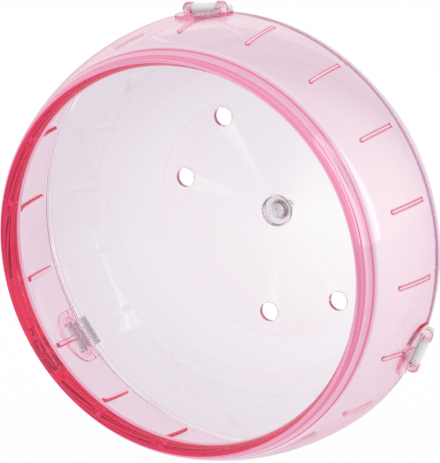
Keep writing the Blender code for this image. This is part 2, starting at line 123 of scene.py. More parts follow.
def bare_material(name: str) -> bpy.types.Material:
    """Make a material that has no nodes yet.

    Args:
        name: The material's name.

    Returns:
        The new material.
    """
    material = bpy.data.materials.new(name)
    material.use_nodes = True
    material.node_tree.nodes.clear()
    return material


@dataclass(frozen=True)
class MouldedPlastic:
    """A moulded plastic: see-through and tinted through its whole thickness, or milky.

    Attributes:
        name: The material's name.
        takes: What a millimetre of it, if see-through, takes from red, green and blue light, as exponents.
        smoothest: Roughness where the tool was polished best.
        roughest: Roughness where it is a little worn.
        clarity: How clear it is: 1 lets light straight through, and 0 doesn't.
        base: The colour of its surface, or of what it scatters.
        wave: Height of the flow waves left by moulding.
        bend: The plastic's IOR.
        wave_size: Width of a flow wave.
        wear_size: Width of a worn spot.
        worn: Where in the noise wear begins, and where it is full.
        milk: How much of the light that goes in is scattered back out, as in a milky plastic.
        milk_reach: How far that light goes in.
        matt: Roughness that is added in a recess left matt.
        matt_radius: Radius of that recess about the axle, or 0 where there is none.
        matt_front: The place on Y at which it ends.
    """

    name: str
    takes: tuple[float, float, float] = (0.0, 0.0, 0.0)
    smoothest: float = 0.0
    roughest: float = 0.03
    clarity: float = 1.0
    base: str = "ffffff"
    wave: float = 0.0012 * MM
    bend: float = 1.53
    wave_size: float = 14.0 * MM
    wear_size: float = 3.0 * MM
    worn: Point = (0.45, 0.75)
    milk: float = 0.0
    milk_reach: float = 4.0 * MM
    matt: float = 0.45
    matt_radius: float = 0.0
    matt_front: float = 0.0

    def material(self) -> bpy.types.Material:
        """Make the material, with flow waves from moulding and a little wear.

        Returns:
            The new material.
        """
        material = bare_material(self.name)
        tree = material.node_tree
        place = add_node(tree, "ShaderNodeTexCoord", {}, {}).outputs["Object"]
        spots = add_node(
            tree, "ShaderNodeTexNoise", {"Scale": 1 / self.wear_size, "Detail": 3.0}, {"Vector": place}
        )
        start, full = self.worn
        gloss = add_node(
            tree,
            "ShaderNodeMapRange",
            {"From Min": start, "From Max": full, "To Min": self.smoothest, "To Max": self.roughest},
            {"Value": spots.outputs["Fac"]},
        )
        if self.matt_radius:
            gloss = self.matt_recess(tree, place, gloss.outputs["Result"])
        flow = add_node(
            tree, "ShaderNodeTexNoise", {"Scale": 1 / self.wave_size, "Detail": 1.0}, {"Vector": place}
        )
        waves = add_node(
            tree,
            "ShaderNodeBump",
            {"Strength": 1.0, "Distance": self.wave},
            {"Height": flow.outputs["Fac"]},
        )
        shader = add_node(
            tree,
            "ShaderNodeBsdfPrincipled",
            {
                "Base Color": linear(self.base),
                "IOR": self.bend,
                "Transmission Weight": self.clarity,
                "Subsurface Weight": self.milk,
                "Subsurface Radius": (1.0, 1.0, 1.0),
                "Subsurface Scale": self.milk_reach,
            },
            {"Roughness": gloss.outputs[0], "Normal": waves.outputs["Normal"]},
        )
        links = {"Surface": shader.outputs["BSDF"]}
        density = max(self.takes)
        if density:
            kept = [1 - part / density for part in self.takes]
            tint = {"Color": (kept[0], kept[1], kept[2], 1.0), "Density": density / MM}
            links["Volume"] = add_node(tree, "ShaderNodeVolumeAbsorption", tint, {}).outputs["Volume"]
        add_node(tree, "ShaderNodeOutputMaterial", {}, links)
        return material

    def matt_recess(
        self, tree: bpy.types.NodeTree, place: bpy.types.NodeSocket, gloss: bpy.types.NodeSocket
    ) -> bpy.types.Node:
        """Leave a round recess about the axle matt from the tool.

        Args:
            tree: The material's node tree.
            place: The surface point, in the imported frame.
            gloss: The roughness of the rest.

        Returns:
            The node that gives the roughness everywhere.
        """
        across = add_node(
            tree, "ShaderNodeVectorMath", {"operation": "MULTIPLY", "1": (1.0, 0.0, 1.0)}, {"0": place}
        )
        radius = add_node(
            tree, "ShaderNodeVectorMath", {"operation": "LENGTH"}, {"0": across.outputs["Vector"]}
        )
        near = add_node(
            tree,
            "ShaderNodeMath",
            {"operation": "LESS_THAN", "1": self.matt_radius},
            {"0": radius.outputs["Value"]},
        )
        along = add_node(tree, "ShaderNodeSeparateXYZ", {}, {"0": place})
        front = add_node(
            tree,
            "ShaderNodeMath",
            {"operation": "LESS_THAN", "1": self.matt_front},
            {"0": along.outputs["Y"]},
        )
        both = add_node(
            tree, "ShaderNodeMath", {"operation": "MULTIPLY"}, {"0": near.outputs[0], "1": front.outputs[0]}
        )
        return add_node(
            tree,
            "ShaderNodeMath",
            {"operation": "MULTIPLY_ADD", "1": self.matt},
            {"0": both.outputs[0], "2": gloss},
        )


@dataclass(frozen=True)
class TurnedNylon:
    """A waxy, milky plastic, turned on a lathe, with fine rings left by the tool.

    Attributes:
        name: The material's name.
        colour: Its colour, as a hex value.
        ring_pitch: How far apart the rings are.
        groove: How deep they are.
        haze_size: Width of a duller spot.
        smoothest: Roughness between such spots.
        roughest: Roughness in them.
        soak: How far light goes in.
    """

    name: str
    colour: str
    ring_pitch: float = 0.25 * MM
    groove: float = 0.02 * MM
    haze_size: float = 1.5 * MM
    smoothest: float = 0.38
    roughest: float = 0.55
    soak: float = 0.5 * MM

    def material(self) -> bpy.types.Material:
        """Make the material: dull, with rings that scatter the light.

        Returns:
            The new material.
        """
        material = bare_material(self.name)
        tree = material.node_tree
        place = add_node(tree, "ShaderNodeTexCoord", {}, {}).outputs["Object"]
        rings = add_node(
            tree,
            "ShaderNodeTexWave",
            {
                "wave_type": "RINGS",
                "rings_direction": "Y",
                "Scale": WAVE_TURN / self.ring_pitch,
                "Distortion": 0.4,
            },
            {"Vector": place},
        )
        cuts = add_node(
            tree,
            "ShaderNodeBump",
            {"Strength": 0.4, "Distance": self.groove},
            {"Height": rings.outputs["Fac"]},
        )
        haze = add_node(tree, "ShaderNodeTexNoise", {"Scale": 1 / self.haze_size}, {"Vector": place})
        dull = add_node(
            tree,
            "ShaderNodeMapRange",
            {"To Min": self.smoothest, "To Max": self.roughest},
            {"Value": haze.outputs["Fac"]},
        )
        shader = add_node(
            tree,
            "ShaderNodeBsdfPrincipled",
            {
                "Base Color": linear(self.colour),
                "IOR": 1.53,
                "Subsurface Weight": 0.3,
                "Subsurface Scale": self.soak,
            },
            {"Roughness": dull.outputs["Result"], "Normal": cuts.outputs["Normal"]},
        )
        add_node(tree, "ShaderNodeOutputMaterial", {}, {"Surface": shader.outputs["BSDF"]})
        return material


class Pen:
    """Draws a section or an outline in the XZ plane, and turns or thickens it."""

    def __init__(self, start: Point) -> None:
        """Put the pen down at a point."""
        self.shape = bmesh.new()
        self.tip: BMVert = self.shape.verts.new((start[0], 0.0, start[1]))

    def line(self, *points: Point) -> "Pen":
        """Draw straight lines.

        Args:
            points: The points they lead to, in order.

        Returns:
            The pen itself.
        """
        for x, z in points:
            new = bmesh.ops.extrude_vert_indiv(self.shape, verts=[self.tip])["verts"][0]
            new.co = (x, 0.0, z)
            self.tip = new
        return self

    def arc(self, centre: Point, degrees: float, steps: int) -> "Pen":
        """Draw an arc on from the tip.

        Args:
            centre: The arc's centre.
            degrees: How far it turns, from X towards Z.
            steps: How many edges it has.

        Returns:
            The pen itself.
        """
        made = bmesh.ops.spin(
            self.shape,
            geom=[self.tip],
            cent=(centre[0], 0.0, centre[1]),
            axis=(0.0, -1.0, 0.0),
            angle=math.radians(degrees),
            steps=steps,
        )
        self.tip = [item for item in made["geom_last"] if isinstance(item, BMVert)][0]
        return self

    def closed(self) -> "Pen":
        """Close the outline with a last edge.

        Returns:
            The pen itself.
        """
        self.shape.verts.ensure_lookup_table()
        bmesh.ops.contextual_create(self.shape, geom=[self.tip, self.shape.verts[0]])
        bmesh.ops.remove_doubles(self.shape, verts=self.shape.verts, dist=MERGE)
        return self

    def turned(self, steps: int) -> BMesh:
        """Turn the section about Z.

        Args:
            steps: How many steps a full turn has.

        Returns:
            The closed shape.
        """
        bmesh.ops.spin(
            self.shape,
            geom=self.shape.verts[:] + self.shape.edges[:],
            cent=(0.0, 0.0, 0.0),
            axis=(0.0, 0.0, 1.0),
            angle=2 * math.pi,
            steps=steps,
            use_merge=True,
        )
        return mended(self.shape)

    def thick(self, width: float) -> BMesh:
        """Fill the outline and give it a width, split about the XZ plane.

        Args:
            width: The width along Y.

        Returns:
            The closed shape.
        """
        bmesh.ops.contextual_create(self.shape, geom=self.shape.edges)
        bmesh.ops.translate(self.shape, vec=(0.0, -width / 2, 0.0), verts=self.shape.verts)
        made = bmesh.ops.extrude_face_region(self.shape, geom=self.shape.faces[:])
        new = [item for item in made["geom"] if isinstance(item, BMVert)]
        bmesh.ops.translate(self.shape, vec=(0.0, width, 0.0), verts=new)
        return mended(self.shape)


def mended(shape: BMesh) -> BMesh:
    """Merge doubles and turn all faces outwards.

    Args:
        shape: A closed shape.

    Returns:
        The same shape.
    """
    bmesh.ops.remove_doubles(shape, verts=shape.verts, dist=MERGE)
    bmesh.ops.recalc_face_normals(shape, faces=shape.faces)
    return shape


def rounded(shape: BMesh, radius: float, segments: int = 2) -> BMesh:
    """Round the corners of a shape.

    Args:
        shape: A closed shape.
        radius: The width of the rounding.
        segments: How many faces the rounding has.

    Returns:
        The same shape.
    """
    corners = [e for e in shape.edges if e.is_manifold and e.calc_face_angle() > CORNER]
    bmesh.ops.bevel(
        shape,
        geom=corners,
        offset=radius,
        offset_type="OFFSET",
        affect="EDGES",
        segments=segments,
        profile=0.5,
        material=-1,
        clamp_overlap=True,
    )
    return mended(shape)


def gathered(copies: list[tuple[BMesh, Matrix]]) -> BMesh:
    """Put copies of shapes into one, each at its own place.

    Args:
        copies: Shapes and where each goes.

    Returns:
        The one shape.
    """
    whole = bmesh.new()
    for shape, place in copies:
        mesh = bpy.data.meshes.new("copy")
        shape.to_mesh(mesh)
        first = len(whole.verts)
        whole.from_mesh(mesh)
        whole.verts.ensure_lookup_table()
        bmesh.ops.transform(whole, matrix=place, verts=whole.verts[first:])
        bpy.data.meshes.remove(mesh)
    return whole


def carved(shape: BMesh, tool: BMesh, cut: Cut) -> BMesh:
    """Join a tool to a shape, or take it out of it.

    Args:
        shape: The shape that is worked on.
        tool: The tool, in the same frame.
        cut: What the tool does.

    Returns:
        The new shape.
    """
    made = []
    for name, part in (("work", shape), ("tool", tool)):
        mesh = bpy.data.meshes.new(name)
        part.to_mesh(mesh)
        part.free()
        ob = bpy.data.objects.new(name, mesh)
        bpy.context.scene.collection.objects.link(ob)
        made.append(ob)
    change = made[0].modifiers.new("Carve", "BOOLEAN")
    change.operation = cut.value
    change.solver = "EXACT"
    change.object = made[1]
    graph = bpy.context.evaluated_depsgraph_get()
    result = bmesh.new()
    result.from_object(made[0], graph)
    for ob in made:
        mesh = ob.data
        bpy.data.objects.remove(ob)
        bpy.data.meshes.remove(mesh)
    return mended(result)


def station(angle: float, radius: float, forward: float) -> Matrix:
    """A place on the wheel: X along the rim, Y to the mouth, Z away from the axle.

    Args:
        angle: The angle about the axle, in degrees.
        radius: The distance from the axle.
        forward: The distance from the joint towards the mouth.

    Returns:
        The frame at that place.
    """
    turn = Matrix.Rotation(math.radians(angle), 4, "Z")
    upright = Matrix.Rotation(math.radians(90), 4, "Z") @ Matrix.Rotation(math.radians(90), 4, "X")
    return turn @ Matrix.Translation((radius, 0.0, forward)) @ upright


# A slab drawn in (forward, outward) stands across the rim, and one drawn in (along, forward) lies on it
STANDING = Matrix.Rotation(math.radians(90), 4, "Z")
LYING = Matrix.Rotation(math.radians(-90), 4, "X")
SIDEWAYS = Matrix.Rotation(math.radians(90), 4, "Y")


@dataclass
class WheelPlace:
    """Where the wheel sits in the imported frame.

    Attributes:
        seat: The joint between the halves, on Y.
        phase: How far the wheel is turned on its axle, in radians.
    """

    seat: float = -35.6 * MM
    phase: float = math.radians(97.1)

    def matrix(self) -> Matrix:
        """The wheel's own frame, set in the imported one."""
        turn = Matrix.Rotation(math.radians(90), 4, "X") @ Matrix.Rotation(self.phase, 4, "Z")
        return Matrix.Translation((0.0, self.seat, 0.0)) @ turn

    def add(self, name: str, shape: BMesh, material: bpy.types.Material, body: Body, slot: str) -> None:
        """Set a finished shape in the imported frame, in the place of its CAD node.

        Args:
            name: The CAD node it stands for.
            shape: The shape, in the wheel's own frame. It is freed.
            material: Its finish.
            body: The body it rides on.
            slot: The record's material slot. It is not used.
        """
        bmesh.ops.transform(shape, matrix=self.matrix(), verts=shape.verts)
        bmesh.ops.recalc_face_normals(shape, faces=shape.faces)
        mesh = bpy.data.meshes.new(name + "_fine")
        shape.to_mesh(mesh)
        shape.free()
        mesh.materials.append(material)
        mesh.shade_smooth()
        mesh.set_sharp_from_angle(angle=CRISP)
        ob = bpy.data.objects.new(name + "_fine", mesh)
        bpy.context.scene.collection.objects.link(ob)
        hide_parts(name)
        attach(ob, body.value)
        LOG.info("%s: %d faces", ob.name, len(mesh.polygons))


@dataclass
class Stations:
    """The three places where a latch joins the halves, by the latch's name."""

    angles: tuple[tuple[str, float], ...] = (
        ("latch_top", 0.0),
        ("latch_right", -120.0),
        ("latch_left", 120.0),
    )
    pivot_forward: float = 3.3 * MM
    pivot_radius: float = 73.1 * MM

    def pivots(self) -> list[Matrix]:
        """The frame on each latch's hinge line."""
        return [station(angle, self.pivot_radius, self.pivot_forward) for _, angle in self.angles]

    def feet(self) -> list[Matrix]:
        """The frame on the axle below each latch, in the plane of the joint."""
        return [station(angle, 0.0, 0.0) for _, angle in self.angles]


@dataclass
class RunningRing:
    """The pink front half: a crowned wall, a rolled lip, tread bars inside and ears at the rear edge."""

    stations: Stations
    # The wall, as arcs about the middle of its crown
    rim: float = 71.7 * MM
    crown: float = 100.0 * MM
    depth: float = 39.2 * MM
    wall: float = 1.7 * MM
    steps: int = 450
    # The lip: rolled in from the crest to the mouth, then back to the wall
    mouth: float = 60.4 * MM
    roll: float = 6.3 * MM
    crest: float = 1.0 * MM
    lip_back: float = 2.0 * MM
    fillet: float = 1.4 * MM
    # The rear edge, with a rebate for the shell
    edge: float = 0.3 * MM
    rebate: float = 70.8 * MM
    rebate_depth: float = 1.5 * MM
    # The treads
    treads: int = 18
    tread_rear: float = 4.3 * MM
    tread_front: float = 21.3 * MM
    tread_half: float = 0.95 * MM
    tread_rows: int = 10
    # The pads under the latches, each with a groove for the latch's barrel
    pad_top: float = 72.0 * MM
    pad_floor: float = 70.5 * MM
    pad_half: float = 9.5 * MM
    pad_rear: float = 2.2 * MM
    pad_shoulder: float = 5.0 * MM
    pad_front: float = 12.5 * MM
    pad_edge: float = 0.25 * MM
    groove: float = 1.95 * MM
    groove_length: float = 10.2 * MM
    # The ears, each open at a slot and domed at its end
    ear: float = 2.1 * MM
    ear_thickness: float = 2.0 * MM
    ear_gap: float = 9.2 * MM
    ear_foot: float = 71.1 * MM
    socket: float = 1.15 * MM
    slot_width: float = 1.5 * MM
    slot_angle: float = 50.0
    dome: float = 1.85 * MM
    dome_height: float = 1.2 * MM
    dome_root: float = 0.4 * MM

    def inside_radius(self, height: float) -> float:
        """The radius of the wall's inside at a height."""
        return self.rim - self.crown + math.sqrt((self.crown - self.wall) ** 2 - height**2)

    def turned_wall(self) -> BMesh:
        """Turn the wall: down the outside, round the rear edge, up the inside and round the lip.

        Returns:
            The wall, without treads or ears.
        """
        middle = (self.rim - self.crown, 0.0)
        inner = self.crown - self.wall
        reach = self.crown - self.crest
        crest = math.asin((self.depth - self.crest) / reach)
        crest_middle = (middle[0] + reach * math.cos(crest), reach * math.sin(crest))
        height = self.depth - self.roll
        inset, rise = crest_middle[0] - self.mouth, crest_middle[1] - height
        roll = (inset**2 + rise**2 - self.crest**2) / (2 * (inset - self.crest))
        roll_end = math.degrees(math.atan2(rise, inset - roll))
        back_middle = (self.mouth + self.lip_back, height)
        across = back_middle[0] - middle[0]
        near, far = inner - self.fillet, self.lip_back + self.fillet
        share = (across**2 + height**2 + near**2 - far**2) / (2 * math.hypot(across, height) * near)
        flare = math.atan2(height, across) - math.acos(share)
        flare_middle = (middle[0] + near * math.cos(flare), near * math.sin(flare))
        meets = math.degrees(math.atan2(height - flare_middle[1], back_middle[0] - flare_middle[0]))
        start, flare = (math.degrees(angle) for angle in (math.asin(self.rebate_depth / inner), flare))
        low = math.degrees(math.asin(self.edge / self.crown))
        pen = Pen((middle[0] + self.crown * math.cos(crest), self.crown * math.sin(crest)))
        pen.arc(middle, low - math.degrees(crest), steps=24)
        pen.arc((self.rim - self.edge, self.edge), -90, steps=4)
        pen.line((self.rebate, 0.0), (self.rebate, self.rebate_depth))
        pen.line((self.inside_radius(self.rebate_depth), self.rebate_depth))
        pen.arc(middle, flare - start, steps=16)
        pen.arc(flare_middle, meets - flare, steps=16)
        pen.arc(back_middle, -meets, steps=10)
        pen.arc((self.mouth + roll, height), roll_end - 180, steps=14)
        pen.arc(crest_middle, math.degrees(crest) - roll_end, steps=16)
        return pen.closed().turned(self.steps)

    def tread(self) -> BMesh:
        """A tread bar, bent to the inside wall: round, square at the rear and domed at the front.

        Returns:
            The bar, half of it sunk in the wall.
        """
        front = self.tread_front - self.tread_half
        span, last = self.tread_rear - front, self.tread_rows
        rows = [front + span * row / last for row in range(1, last + 1)]
        pen = Pen((0.0, self.tread_front)).arc((0.0, front), -90, steps=8)
        bar = pen.line(*((self.tread_half, row) for row in rows), (0.0, self.tread_rear)).turned(steps=36)
        for vert in bar.verts:
            vert.co.x += self.inside_radius(vert.co.z)
        return bar

    def add_treads(self, ring: BMesh) -> BMesh:
        """Join the tread bars to the wall.

        Args:
            ring: The turned wall.

        Returns:
            The wall with its treads.
        """
        bar = self.tread()
        turns = [Matrix.Rotation(2 * math.pi * count / self.treads, 4, "Z") for count in range(self.treads)]
        ring = carved(ring, gathered([(bar, turn) for turn in turns]), Cut.JOIN)
        bar.free()
        return ring

    def pad(self) -> BMesh:
        """The raised pad under a latch: straight at the rear, an arch towards the mouth.

        Returns:
            The pad, split about the XZ plane.
        """
        pen = Pen((self.pad_half, self.pad_rear)).line((self.pad_half, self.pad_shoulder))
        pen.arc((0.0, self.pad_shoulder), 180, steps=28).line((-self.pad_half, self.pad_rear))
        for vert in pen.shape.verts:
            if vert.co.z > self.pad_shoulder:
                rise = (vert.co.z - self.pad_shoulder) / self.pad_half
                vert.co.z = self.pad_shoulder + rise * (self.pad_front - self.pad_shoulder)
        return rounded(pen.closed().thick(self.pad_top - self.pad_floor), self.pad_edge)

    def ear_hook(self) -> BMesh:
        """An ear: a hook round the pivot, open where the latch snaps in.

        Returns:
            The ear, drawn in (forward, outward).
        """
        pivot = (self.stations.pivot_forward, self.stations.pivot_radius)
        inner = math.degrees(math.asin(self.slot_width / 2 / self.socket))
        outer = math.degrees(math.asin(self.slot_width / 2 / self.ear))
        opened = math.radians(self.slot_angle - inner)
        pen = Pen((pivot[0] - self.ear, self.ear_foot)).line((pivot[0] + self.ear, self.ear_foot))
        pen.line((pivot[0] + self.ear, pivot[1])).arc(pivot, self.slot_angle - outer, steps=6)
        pen.line((pivot[0] + self.socket * math.cos(opened), pivot[1] + self.socket * math.sin(opened)))
        pen.arc(pivot, 2 * inner - 360, steps=24)
        closed = math.radians(self.slot_angle + outer)
        pen.line((pivot[0] + self.ear * math.cos(closed), pivot[1] + self.ear * math.sin(closed)))
        pen.arc(pivot, 180 - self.slot_angle - outer, steps=14)
        return pen.closed().thick(self.ear_thickness)

    def ear_dome(self) -> BMesh:
        """The round end of an ear, from its top down to its root.

        Returns:
            The end, about Z.
        """
        pen = Pen((0.0, self.dome)).arc((0.0, 0.0), -90, steps=10)
        pen.line((self.dome, -self.dome_root), (0.0, -self.dome_root))
        for vert in pen.shape.verts:
            if vert.co.z > 0:
                vert.co.z *= self.dome_height / self.dome
        return pen.turned(steps=40)

    def add_ears(self, ring: BMesh) -> BMesh:
        """Join the pads and the ears to the wall, with a groove between them for the latch.

        Args:
            ring: The wall with its treads.

        Returns:
            The whole ring.
        """
        pad, hook, dome = self.pad(), self.ear_hook(), self.ear_dome()
        groove = bmesh.new()
        bmesh.ops.create_cone(
            groove,
            cap_ends=True,
            segments=64,
            radius1=self.groove,
            radius2=self.groove,
            depth=self.groove_length,
        )
        pads, grooves, hooks, domes = [], [], [], []
        middle = Matrix.Translation((0.0, 0.0, (self.pad_top + self.pad_floor) / 2))
        across = (self.ear_gap + self.ear_thickness) / 2
        end = self.ear_gap / 2 + self.ear_thickness
        for foot, pivot in zip(self.stations.feet(), self.stations.pivots()):
            pads.append((pad, foot @ middle @ LYING))
            grooves.append((groove, pivot @ SIDEWAYS))
            for side in (-1, 1):
                hooks.append((hook, foot @ Matrix.Translation((side * across, 0.0, 0.0)) @ STANDING))
                turn = Matrix.Rotation(math.radians(90 * side), 4, "Y")
                domes.append((dome, pivot @ Matrix.Translation((side * end, 0.0, 0.0)) @ turn))
        steps = ((pads, Cut.JOIN), (grooves, Cut.REMOVE), (hooks, Cut.JOIN), (domes, Cut.JOIN))
        for copies, cut in steps:
            ring = carved(ring, gathered(copies), cut)
        for shape in (pad, hook, dome, groove):
            shape.free()
        return ring

    def build(self) -> BMesh:
        """Build the whole ring."""
        return self.add_ears(self.add_treads(self.turned_wall()))


@dataclass
class BackShell:
    """The clear rear half: a flange, a sloping flank with faint ribs, a vented flat back, and the hub."""

    stations: Stations
    ring: RunningRing
    # The bowl and its rim
    wall: float = 1.7 * MM
    depth: float = 32.4 * MM
    flange: float = 71.2 * MM
    flange_front: float = -0.12 * MM
    flange_rear: float = -2.3 * MM
    flank: float = 70.1 * MM
    slope: float = 24.0
    corner: float = 24.0 * MM
    spigot_length: float = 1.4 * MM
    joint_gap: float = 0.15 * MM
    edge: float = 0.2 * MM
    # The hub
    boss: float = 3.2 * MM
    boss_length: float = 2.0 * MM
    boss_fillet: float = 0.6 * MM
    bore: float = 2.2 * MM
    # The ribs, which narrow to their tops and fade at both ends
    rib_front: float = -3.3 * MM
    rib_rear: float = -19.7 * MM
    rib_height: float = 0.14 * MM
    rib_top: float = 0.45
    rib_lean: float = 0.3
    rib_least: float = 0.1
    rib_fade: float = 3.0 * MM
    # The vents
    vent: float = 3.2 * MM
    vent_flare: float = 0.12 * MM
    vent_circle: float = 35.71 * MM
    vent_offsets: tuple[float, ...] = (-91.0, -47.5, 47.5, 91.0)

    def flank_radius(self, height: float) -> float:
        """The flank's outer radius at a height behind the flange."""
        return self.flank - (self.flange_rear - height) * math.tan(math.radians(self.slope))

    def turned_bowl(self) -> BMesh:
        """Turn the bowl from the spigot down its outside to the hub, and back up its inside.

        Returns:
            The bowl, without ribs or vents.
        """
        spigot = self.ring.rebate - self.joint_gap
        slant = math.radians(self.slope)
        setback = self.corner * math.tan((math.pi / 2 - slant) / 2)
        middle = (self.flank_radius(-self.depth) - setback, self.corner - self.depth)
        turn = 90 - self.slope
        across = self.wall / math.cos(slant)
        inside = self.flank_radius(self.spigot_length) - across
        inner = self.corner - self.wall
        back = self.wall - self.depth
        start = (middle[0] + self.corner * math.cos(slant), middle[1] - self.corner * math.sin(slant))
        ends = (middle[0] + inner * math.cos(slant), middle[1] - inner * math.sin(slant))
        rows = [self.rib_rear + self.rib_fade, self.rib_front - self.rib_fade, self.rib_front]
        row_points = [(self.flank_radius(row) - across, row) for row in rows if row > ends[1]]
        pen = Pen((spigot, self.spigot_length))
        pen.line((spigot, self.flange_front), (self.flange, self.flange_front))
        pen.line((self.flange, self.flange_rear), (self.flank, self.flange_rear), start)
        pen.arc(middle, -turn, steps=26)
        boss_middle = (self.boss + self.boss_fillet, -self.depth - self.boss_fillet)
        pen.line((boss_middle[0], -self.depth)).arc(boss_middle, 90, steps=6)
        pen.line((self.boss, -self.depth - self.boss_length), (self.bore, -self.depth - self.boss_length))
        pen.line((self.bore, back), (middle[0], back))
        pen.arc(middle, turn, steps=26)
        pen.line(*row_points, (inside, self.spigot_length))
        bowl = pen.closed().turned(self.ring.steps)
        return rounded(bowl, self.edge)

    def is_rib(self, face: BMFace) -> bool:
        """Whether a face of the inside flank lies under a rib.

        Args:
            face: A face of the bowl.

        Returns:
            Whether it does.
        """
        middle = face.calc_center_median()
        if not self.rib_rear < middle.z < self.rib_front:
            return False
        if face.normal.x * middle.x + face.normal.y * middle.y > 0:
            return False
        pitch = 360 / self.ring.treads
        off = (math.degrees(math.atan2(middle.y, middle.x)) + pitch / 2) % pitch - pitch / 2
        return abs(off) < 360 / self.ring.steps

    def add_ribs(self, bowl: BMesh) -> None:
        """Raise the faint ribs that lead on from the treads.

        Args:
            bowl: The turned bowl.
        """
        bowl.normal_update()
        under = [face for face in bowl.faces if self.is_rib(face)]
        made = bmesh.ops.extrude_face_region(bowl, geom=under)
        raised = [item for item in made["geom"] if isinstance(item, BMVert)]
        bmesh.ops.delete(bowl, geom=[face for face in under if face.is_valid], context="FACES")
        pitch = math.radians(360 / self.ring.treads)
        for vert in raised:
            angle = math.atan2(vert.co.y, vert.co.x)
            axis = round(angle / pitch) * pitch
            narrow = axis + (angle - axis) * self.rib_top
            run = min(self.rib_front - vert.co.z, vert.co.z - self.rib_rear) / self.rib_fade
            rise = self.rib_height * min(max(run, self.rib_least), 1.0)
            radius = math.hypot(vert.co.x, vert.co.y) - rise
            height = vert.co.z + self.rib_lean * rise
            vert.co = (radius * math.cos(narrow), radius * math.sin(narrow), height)

    def vent_tool(self) -> BMesh:
        """The tool for a vent, flared at both faces of the wall so that its edges come out round.

        Returns:
            The tool, about Z, with the middle of the wall at zero.
        """
        half = self.wall / 2
        wide = self.vent + self.vent_flare
        pen = Pen((0.0, 2 * half)).line((wide, 2 * half), (wide, half))
        pen.arc((wide, half - self.vent_flare), 90, steps=5)
        pen.line((self.vent, self.vent_flare - half)).arc((wide, self.vent_flare - half), 90, steps=5)
        pen.line((wide, -2 * half), (0.0, -2 * half))
        return pen.turned(steps=64)

    def build(self) -> BMesh:
        """Build the whole shell.

        Returns:
            The shell, in the wheel's own frame.
        """
        bowl = self.turned_bowl()
        self.add_ribs(bowl)
        bowl = mended(bowl)
        vent = self.vent_tool()
        left = dict(self.stations.angles)["latch_left"]
        out = Matrix.Translation((self.vent_circle, 0.0, self.wall / 2 - self.depth))
        turns = [Matrix.Rotation(math.radians(left + offset), 4, "Z") for offset in self.vent_offsets]
        holes = [(vent, turn @ out) for turn in turns]
        bowl = carved(bowl, gathered(holes), Cut.REMOVE)
        vent.free()
        return bowl


@dataclass
class SwingLatch:
    """A milky clip: a barrel between two ears, a flap over the joint, and a hook behind the flange."""

    stations: Stations
    shell: BackShell
    # The side view, about the pivot
    barrel: float = 1.65 * MM
    top: float = 0.9 * MM
    foot: float = -0.6 * MM
    tilt: float = 9.0
    corner: float = 1.2 * MM
    hook: float = 2.2 * MM
    hook_gap: float = 0.4 * MM
    bite: float = 1.0 * MM
    lead_in: float = 0.8 * MM
    # The widths: the flap, and the neck between the ears with a trunnion on each end
    width: float = 10.4 * MM
    neck: float = 8.6 * MM
    neck_rear: float = -2.7 * MM
    trunnion: float = 0.95 * MM
    trunnion_length: float = 1.5 * MM
    trunnion_edge: float = 0.15 * MM
    edge: float = 0.25 * MM

    def outline(self) -> Pen:
        """The latch from the side, about its pivot, with its flap level.

        Returns:
            The pen, with the closed outline.
        """
        tilt = math.radians(self.tilt)
        reach = self.shell.flange_rear - self.hook_gap - self.stations.pivot_forward
        drop = self.shell.flange - self.bite - self.stations.pivot_radius
        front = reach * math.cos(tilt) + drop * math.sin(tilt)
        toe = drop * math.cos(tilt) - reach * math.sin(tilt)
        rear = front - self.hook
        low = math.asin(-self.foot / self.barrel)
        high = math.asin(self.top / self.barrel)
        pen = Pen((-self.barrel * math.cos(low), self.foot))
        pen.arc((0.0, 0.0), 360 - math.degrees(low + high), steps=26)
        pen.line((rear + self.corner, self.top))
        pen.arc((rear + self.corner, self.top - self.corner), 90, steps=8)
        pen.line((rear, toe + 2 * self.lead_in), (rear + self.lead_in, toe))
        return pen.line((front, toe), (front, self.foot)).closed()

    def build(self) -> BMesh:
        """Build the latch about its pivot.

        Returns:
            The latch, with X along its hinge.
        """
        flap = rounded(self.outline().thick(self.width), self.edge, segments=3)
        bmesh.ops.rotate(flap, matrix=Matrix.Rotation(math.radians(-self.tilt), 3, "Y"), verts=flap.verts)
        bmesh.ops.transform(flap, matrix=STANDING, verts=flap.verts)
        front = self.barrel + SPARE
        shave = bmesh.new()
        bmesh.ops.create_cube(shave, size=1.0)
        size = (self.width, front - self.neck_rear, 2 * front)
        bmesh.ops.scale(shave, vec=size, verts=shave.verts)
        rounded(shave, self.edge, segments=3)
        pen = Pen((0.0, self.trunnion_length)).line((self.trunnion, self.trunnion_length))
        pen.line((self.trunnion, -SPARE), (0.0, -SPARE))
        stub = rounded(pen.turned(steps=40), self.trunnion_edge)
        sides, stubs = [], []
        for side in (-1, 1):
            middle = (side * (self.neck + self.width) / 2, (front + self.neck_rear) / 2, 0.0)
            sides.append((shave, Matrix.Translation(middle)))
            turn = Matrix.Rotation(math.radians(90 * side), 4, "Y")
            stubs.append((stub, Matrix.Translation((side * self.neck / 2, 0.0, 0.0)) @ turn))
        flap = carved(flap, gathered(sides), Cut.REMOVE)
        flap = carved(flap, gathered(stubs), Cut.JOIN)
        shave.free()
        stub.free()
        return flap


